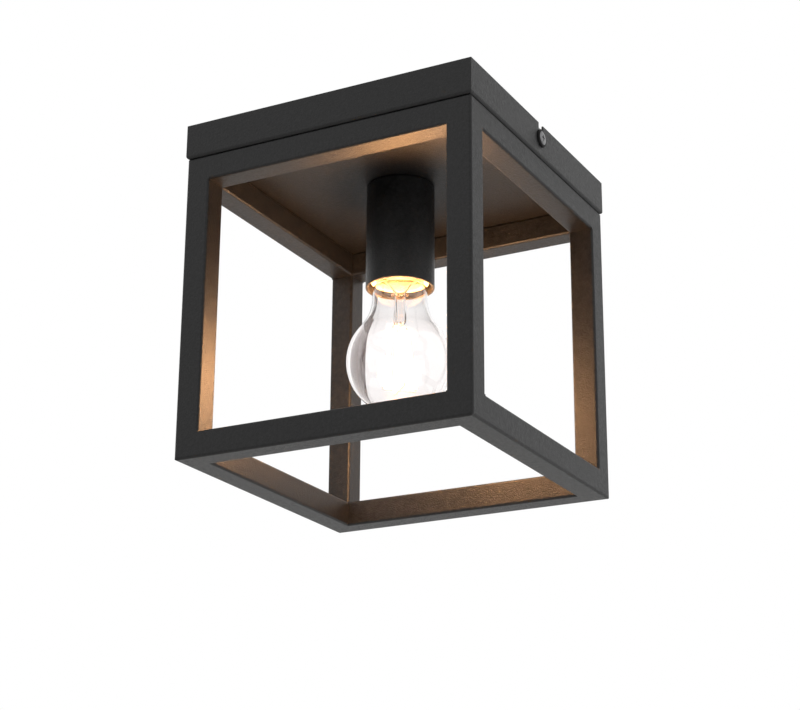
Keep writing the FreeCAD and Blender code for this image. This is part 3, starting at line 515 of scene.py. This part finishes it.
def filamentPlace(number):
    spread = Matrix.Translation((filament["topSpread"] * mm, 0, filament["topHeight"] * mm))
    return quarterTurn(number) @ spread @ Matrix.Rotation(-filamentLean, 4, "Y")


def makeFilaments():
    rod, tag, length = filament["radius"], filament["tag"], filament["length"]
    outline = [(rod * share, -tag - inset) for share, inset in filament["ends"]]
    outline += [(rod * share, tag - length + inset) for share, inset in reversed(filament["ends"])]
    light = turnPiece("filamentLight1", outline + [(0, tag - length)], filament["around"],
                      startFilled=True, angle=60)
    lights = [light]
    for number in range(1, filament["count"]):
        lights.append(copyPiece(light, f"filamentLight{number + 1}"))
    for number, piece in enumerate(lights):
        setInPlace(piece, filamentPlace(number))
        finishPiece(piece, litFilament, "bulb", "lit_filament", "bulb_filaments")


def makeWire(name, points, radius):
    clearAll()
    bpy.ops.curve.primitive_nurbs_path_add(location=(0, 0, 0))
    wire = bpy.context.object
    wire.name = name
    spline = wire.data.splines[0]
    for spot, point in zip(spline.points, points):
        spot.co = (*[part * mm for part in point], 1)
    spline.order_u = 3
    spline.use_endpoint_u = True
    wire.data.resolution_u = 8
    wire.data.bevel_depth = radius * mm
    wire.data.bevel_resolution = 3
    wire.data.use_fill_caps = True
    useOnly(wire)
    bpy.ops.object.convert(target="MESH")
    wire = bpy.context.object
    wire.data.name = name
    bpy.ops.object.mode_set(mode="EDIT")
    return closeShape(wire, 50)


# Lead wires come out of the stem to the filaments' tops; arms join their feet to a spine.
filamentWires = {
    "radius": 0.3,
    "grip": 2.2,      # how far a wire lies along a filament, past its tag
    "leadStart": [(1.3, 3.0), (1.4, 0.6)],
    "leadBend": [(-0.4, 0.9), (0.1, -0.4)],
    "armStops": (0.4, 0.8),
    "armSag": 0.05,
    "pastFoot": 0.1,
    "spineTop": -106.5,
    "spineShare": 1.2,      # of the wire's radius, as are the hub's steps
    "hubSteps": [(1.2, 0.6), (2.2, 0.3), (2.2, -0.3), (1.2, -0.45), (0, -0.45)],
    "spineAround": 16,
}


def makeWires():
    look = filamentWires
    thin, grip = look["radius"], look["grip"]
    top, foot, out = filament["topHeight"], filament["footSpread"], filament["topSpread"]
    low = top - filament["length"] * math.cos(filamentLean)
    inward = grip * math.tan(filamentLean)
    leadPoints = [(across, 0, top + up) for across, up in look["leadStart"]]
    leadPoints += [(out + across, 0, top + up) for across, up in look["leadBend"]]
    leadPoints += [(out + inward, 0, top - grip)]
    sag = low - look["armSag"]
    armPoints = [(0, 0, low)] + [(foot * share, 0, sag) for share in look["armStops"]]
    armPoints += [(foot + look["pastFoot"], 0, low), (foot - inward, 0, low + grip)]
    leads, arms = [], []
    kinds = ((leads, "leadWire", leadPoints), (arms, "supportWire", armPoints))
    for number in range(filament["count"]):
        for group, label, points in kinds:
            wire = makeWire(f"{label}{number + 1}", points, thin)
            setInPlace(wire, quarterTurn(number))
            group.append(wire)
    outline = [(thin * look["spineShare"], look["spineTop"])]
    outline += [(thin * share, low + up) for share, up in look["hubSteps"]]
    spine = turnPiece("supportSpine", outline, look["spineAround"], startFilled=True)
    for piece in leads:
        finishPiece(piece, nickelWire, "bulb", "nickel_wire", "bulb_lead_wires")
    for piece in arms + [spine]:
        finishPiece(piece, nickelWire, "bulb", "nickel_wire", "bulb_support_wires")


makeFilaments()
makeWires()

# The lamp's screw cap: sheet with a rolled thread between its shoulder and a plain rim.
bulbCap = {
    "thread": {"root": 12.45, "crest": 13.2, "pitch": 3.629, "steps": 12, "sharpness": 1.15},
    "threadLow": -73.5,
    "threadHigh": -59.5,
    "above": [(12.3, -58.6), (12.1, -57.8), (11.5, -56.9)],
    "below": [(12.7, -74.6), (13.1, -75.4), (13.2, -76.2), (13.2, -79.0)],
    "wall": 0.3,
}


def makeThreadedSheet(name, look, offset):
    # A thread with plain rings above and below it, given its wall inwards or outwards.
    sheet = threadSleeve(name, look["thread"], look["threadLow"], look["threadHigh"])
    for level, rings in (("threadHigh", look["above"]), ("threadLow", look["below"])):
        joinRing(sheet, look[level], rings[0])
        pullRing(rings[0], rings[1:])
    closeShape(sheet, 40)
    giveWall(sheet, look["wall"], offset)
    return sheet


def makeBulbCap():
    cap = makeThreadedSheet("bulbCap", bulbCap, -1)
    finishPiece(cap, nickelCap, "bulb", "nickel_cap", "bulb_cap")


makeBulbCap()
print("Lamp ready")

# The round cover over the lamp holder, with a rolled top edge and a thin lip.
holderCover = {
    "radius": 20.0,
    "inside": 18.5,
    "hole": 5.25,
    "top": -21.0,
    "rim": -85.0,
    "wall": 1.5,
    "topBend": 1.5,
    "bendSteps": 6,
    "lip": 0.5,
    "lipSteps": 4,
    "innerEdge": 0.25,
    "innerCorner": 1.0,
    "rings": (-40.0, -62.0),
    "around": 128,
}


def makeHolderCover():
    size = holderCover
    outer, inner, top, rim, lip = size["radius"], size["inside"], size["top"], size["rim"], size["lip"]
    bend, edge, corner = size["topBend"], size["innerEdge"], size["innerCorner"]
    ceiling = top - size["wall"]
    outline = [(size["hole"], ceiling), (size["hole"], top), (outer - bend, top)]
    outline += arcPoints((outer - bend, top - bend), bend, 90, 0, size["bendSteps"])
    outline += [(outer, level) for level in size["rings"]] + [(outer, rim + lip)]
    outline += arcPoints((outer - lip, rim + lip), lip, 0, -90, size["lipSteps"])
    outline += [(inner + edge, rim), (inner, rim + edge)]
    outline += [(inner, level) for level in reversed(size["rings"])]
    outline += [(inner, ceiling - corner), (inner - corner, ceiling)]
    cover = turnPiece("holderCover", outline, size["around"], closed=True)
    finishPiece(cover, blackPowder, "lantern", "black_powder_coat", "lampholder_cover")


makeHolderCover()

# The holder's lower shell: its rim shows in the cover's mouth.
holderSkirt = {
    "bore": 14.1,
    "radius": 17.0,
    "ledge": -51.5,
    "top": -42.0,
    "seat": 15.0,
    "rim": -81.5,
    "round": 0.8,
    "roundSteps": 5,
    "bandAboveRim": 6,
    "bandBelowTop": 4,
    "gripCount": 40,
    "gripBorder": 0.12,
    "gripDepth": 0.35,
}


def makeHolderSkirt():
    size = holderSkirt
    bore, outer, rim, soft = size["bore"], size["radius"], size["rim"], size["round"]
    outline = [(size["seat"], size["top"]), (size["seat"], size["ledge"]), (bore, size["ledge"]),
               (bore, rim + soft)]
    bandLow, bandHigh = rim + size["bandAboveRim"], size["top"] - size["bandBelowTop"]
    outline += arcPoints((bore + soft, rim + soft), soft, 180, 270, size["roundSteps"])
    outline += [(outer - soft, rim)]
    outline += arcPoints((outer - soft, rim + soft), soft, -90, 0, size["roundSteps"])
    outline += [(outer, bandLow), (outer, bandHigh), (outer, size["top"])]
    skirt = turnPiece("holderSkirt", outline, 2 * size["gripCount"], closed=True)

    def isGrip(face):
        # Every second strip of the outer wall's middle band.
        middle = face.calc_center_median()
        strip = int((math.atan2(middle.y, middle.x) + math.pi) / math.pi * size["gripCount"])
        inBand = all((bandLow - 1) * mm < vert.co.z < (bandHigh + 1) * mm for vert in face.verts)
        return inBand and middle.xy.length > (outer - 0.1) * mm and strip % 2 == 0

    bpy.ops.object.mode_set(mode="EDIT")
    pick(skirt, "FACE", isGrip)
    bpy.ops.mesh.inset(thickness=size["gripBorder"] * mm, use_individual=True)
    bpy.ops.transform.shrink_fatten(value=-size["gripDepth"] * mm)
    clearAll()
    finishPiece(skirt, creamPlastic, "lantern", "cream_plastic", "lampholder_skirt")


makeHolderSkirt()

# The screw shell in the holder: brass sheet with the same thread as the lamp's cap.
holderShell = {
    "thread": {"root": 13.35, "crest": 13.75, "pitch": 3.629, "steps": 12, "sharpness": 1.15},
    "threadLow": -73.0,
    "threadHigh": -54.0,
    "above": [(13.4, -53.0), (13.3, -52.0), (12.8, -51.75), (6.0, -51.75)],
    "below": [(13.7, -73.8), (13.72, -75.0)],
    "wall": 0.25,
}


def makeHolderShell():
    shell = makeThreadedSheet("holderShell", holderShell, 1)
    finishPiece(shell, shellBrass, "lantern", "brass", "lampholder_shell")


makeHolderShell()
print("Lamp holder ready")

# Screws are made upright at the origin with their head's seat at nought, and then set in place.
machineThread = {"root": 1.62, "crest": 1.98, "pitch": 0.7, "steps": 4, "sharpness": 1.4}
crossRecess = {"reach": 4.6, "width": 0.95, "depth": 1.5, "taper": 0.55, "above": 0.3}
# Plain lengths where a thread runs out at its two ends.
screwEnds = {"foot": 0.6, "footRing": 0.4, "chamfer": 0.4, "neck": 0.3}


def cutCross(screw, top):
    deep, above, taper = crossRecess["depth"], crossRecess["above"], crossRecess["taper"]
    bars = []
    for number in range(2):
        clearAll()
        box = (crossRecess["reach"], crossRecess["width"], deep + 2 * above)
        middle = (0, 0, (top - deep / 2 + above) * mm)
        bpy.ops.mesh.primitive_cube_add(size=mm, location=middle, scale=box)
        bar = bpy.context.object
        bpy.ops.object.transform_apply(location=True, scale=True)
        bpy.ops.object.mode_set(mode="EDIT")
        pick(bar, "FACE", lambda face: face.normal.z < -0.5)
        bpy.ops.transform.resize(value=(taper, taper, 1), center_override=(0, 0, 0))
        setInPlace(bar, Matrix.Rotation(math.pi / 2 * number, 4, "Z"))
        bars.append(bar)
    for bar in bars:
        cutWith(screw, bar)


def makeScrew(name, thread, low, head, around=32):
    # A threaded shank with a chamfered foot; head is the outline above the thread, up to the pole.
    threadLow, threadHigh = low + screwEnds["foot"], head[0][1] - screwEnds["neck"]
    footRing = (thread["root"], low + screwEnds["footRing"])
    screw = threadSleeve(name, thread, threadLow, threadHigh, around)
    joinRing(screw, threadLow, footRing, around)
    pullRing(footRing, [(thread["root"] - screwEnds["chamfer"], low), (0, low)])
    joinRing(screw, threadHigh, head[0], around)
    pullRing(head[0], head[1:])
    closeShape(screw)
    cutCross(screw, head[-1][1])
    useOnly(screw)
    bpy.ops.object.shade_smooth_by_angle(angle=math.radians(35))
    return screw


# A side screw: countersunk in a cup washer, its head domed and cross recessed.
sideScrew = {
    "low": -10.4,
    "head": [(2.0, -0.8), (2.8, 0.0), (3.9, 1.1), (4.0, 1.2), (3.6, 1.33), (2.9, 1.49), (1.9, 1.62),
             (0.9, 1.69), (0, 1.7)],
    "cup": [(2.9, 0.0), (5.3, 0.0), (5.4, 0.1), (5.4, 0.4), (5.3, 0.75), (5.05, 1.05), (4.75, 1.22),
            (4.55, 1.25), (4.2, 1.25), (4.08, 1.15)],
    "centre": (90.75, 0, -9),
    "around": 48,
    "cupAround": 64,
}


def sidePlace(side):
    place = Vector(sideScrew["centre"]) * mm
    place.x *= side
    return Matrix.Translation(place) @ Matrix.Rotation(side * math.pi / 2, 4, "Y")


def makeSideScrews():
    right = makeScrew("sideScrewRight", machineThread, sideScrew["low"], sideScrew["head"],
                      sideScrew["around"])
    left = copyPiece(right, "sideScrewLeft")
    cupRight = turnPiece("cupWasherRight", sideScrew["cup"], sideScrew["cupAround"], closed=True)
    cupLeft = copyPiece(cupRight, "cupWasherLeft")
    for side, screw, cup, label in ((1, right, cupRight, "right"), (-1, left, cupLeft, "left")):
        setInPlace(screw, sidePlace(side))
        setInPlace(cup, sidePlace(side))
        finishPiece(screw, darkZinc, f"{label}_screw", "zinc_steel", f"side_screw_{label}")
        # The cup washer's near-black finish is partly its own black and partly painted shade, the shadow ring
        # round the head.
        finishPiece(cup, washerBlackAndShade, f"{label}_washer", "black_oxide", f"side_washer_{label}")


makeSideScrews()

# The four screws through the canopy's floor into the cage's top ring.
cageScrew = {
    "low": -8.0,
    "head": [(2.0, -0.05), (2.0, 0.0), (3.9, 0.0), (4.0, 0.12), (4.0, 1.2), (3.85, 1.6), (3.45, 2.0),
             (2.9, 2.28), (2.2, 2.4), (1.0, 2.4), (0, 2.4)],
    "across": 60.0,
    "deep": 82.5,
    "seat": -20.0,
    "firstTurn": 0.6,      # radians: each head stopped at its own angle
    "nextTurn": 1.1,
}


def makeCageScrews():
    first = makeScrew("cageScrew1", machineThread, cageScrew["low"], cageScrew["head"])
    screws = [first] + [copyPiece(first, f"cageScrew{number}") for number in (2, 3, 4)]
    corners = [(1, 1), (-1, 1), (-1, -1), (1, -1)]
    out, back = cageScrew["across"], cageScrew["deep"]
    for number, (screw, (across, deep)) in enumerate(zip(screws, corners)):
        place = Vector((across * out, deep * back, cageScrew["seat"])) * mm
        turn = cageScrew["firstTurn"] + cageScrew["nextTurn"] * number
        setInPlace(screw, Matrix.Translation(place) @ Matrix.Rotation(turn, 4, "Z"))
        finishPiece(screw, zincSteel, "lantern", "zinc_steel", "cage_screws")


makeCageScrews()
print("Screws ready")

# White studio: it shows white, and lights the object less than that.
studio = {
    "worldLight": 0.38,
    "floorHeight": -0.80,
    "floorSize": 60,
    "floorCloud": 3,
    "floorShade": 0.985,
    "floorColour": (0.80, 0.80, 0.79),
    "floorGlow": 0.52,
    "keyPower": 5.0,
    "keyPlace": (0.95, -0.42, -0.70),
    "keySize": 0.8,
    "fillPower": 1.6,
    "fillPlace": (-0.6, -1.6, 0.5),
    "fillSize": 1.4,
    "lampPower": 1.95,
    "lampColour": (1.0, 0.50, 0.21),
    "lampHeight": -0.120,
    "lampSize": 0.014,
}


def seenDirectly(tree):
    # One where the camera, a mirror or glass looks at it, nought for light on the object.
    path = tree.nodes.new("ShaderNodeLightPath")
    seen = path.outputs["Is Camera Ray"]
    for other in ("Is Glossy Ray", "Is Transmission Ray"):
        larger = tree.nodes.new("ShaderNodeMath")
        larger.operation = "MAXIMUM"
        tree.links.new(seen, larger.inputs[0])
        tree.links.new(path.outputs[other], larger.inputs[1])
        seen = larger.outputs[0]
    return seen


def makeWorld():
    world = bpy.data.worlds.new("studioWhite")
    bpy.context.scene.world = world
    world.use_nodes = True
    tree = world.node_tree
    background = tree.nodes["Background"]
    background.inputs["Color"].default_value = (1, 1, 1, 1)
    level = tree.nodes.new("ShaderNodeMapRange")
    level.inputs["To Min"].default_value = studio["worldLight"]
    level.inputs["To Max"].default_value = 1.0
    tree.links.new(seenDirectly(tree), level.inputs["Value"])
    tree.links.new(level.outputs["Result"], background.inputs["Strength"])


def makeFloor():
    clearAll()
    bpy.ops.mesh.primitive_plane_add(size=studio["floorSize"], location=(0, 0, studio["floorHeight"]))
    floor = bpy.context.object
    floor.name = "studioFloor"
    material, shader = startMaterial("paleFloor", Roughness=0.9)
    coords = objectCoords(material)
    tint = studio["floorColour"]
    soft = tuple(part * studio["floorShade"] for part in tint)
    cloud = noise(material, coords, studio["floorCloud"])
    link(material, twoTone(material, cloud, soft, tint), shader.inputs["Base Color"])
    # Seen directly it is paler by a fixed amount, on top of its own shading and shadows.
    shader.inputs["Emission Color"].default_value = (1, 1, 0.99, 1)
    level = addNode(material, "Math", {"operation": "MULTIPLY"}, n0=seenDirectly(material.node_tree),
                    n1=studio["floorGlow"])
    link(material, level.outputs[0], shader.inputs["Emission Strength"])
    floor.data.materials.append(material)


def addLight(name, kind, place, power, size, colour=(1, 1, 1), target=(0, 0, -0.1)):
    clearAll()
    bpy.ops.object.light_add(type=kind, location=place)
    light = bpy.context.object
    light.name = name
    light.data.energy = power
    light.data.color = colour
    light.visible_camera = False
    if kind == "AREA":
        light.data.size = size
        aim = Vector(target) - Vector(place)
        light.rotation_euler = aim.to_track_quat("-Z", "Y").to_euler()
    else:
        light.data.shadow_soft_size = size
        light.visible_transmission = False
    return light


makeWorld()
makeFloor()
addLight("keyLight", "AREA", studio["keyPlace"], studio["keyPower"], studio["keySize"])
addLight("fillLight", "AREA", studio["fillPlace"], studio["fillPower"], studio["fillSize"])
lampLight = addLight("lampLight", "POINT", (0, 0, studio["lampHeight"]), studio["lampPower"],
                     studio["lampSize"], studio["lampColour"])
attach(lampLight, "bulb")
print("Studio ready")


# Seen from below, as a ceiling lamp is, with the front face to the left of the near corner.
cameraFit = {
    "place": (0.48689, -0.90676, -0.49033),
    "turn": (109.516, -0.373, 28.089),
    "lens": 85.92,
    "sensor": 36,
    "near": 0.01,
    "far": 100,
}


def makeCamera():
    clearAll()
    bpy.ops.object.camera_add(location=cameraFit["place"])
    camera = bpy.context.object
    camera.name = "photoCamera"
    camera.rotation_euler = [math.radians(part) for part in cameraFit["turn"]]
    camera.data.sensor_width = cameraFit["sensor"]
    camera.data.lens = cameraFit["lens"]
    camera.data.clip_start = cameraFit["near"]
    camera.data.clip_end = cameraFit["far"]
    bpy.context.scene.camera = camera


makeCamera()
bpy.context.scene.view_settings.view_transform = "Standard"
print("Camera ready")

clearAll()
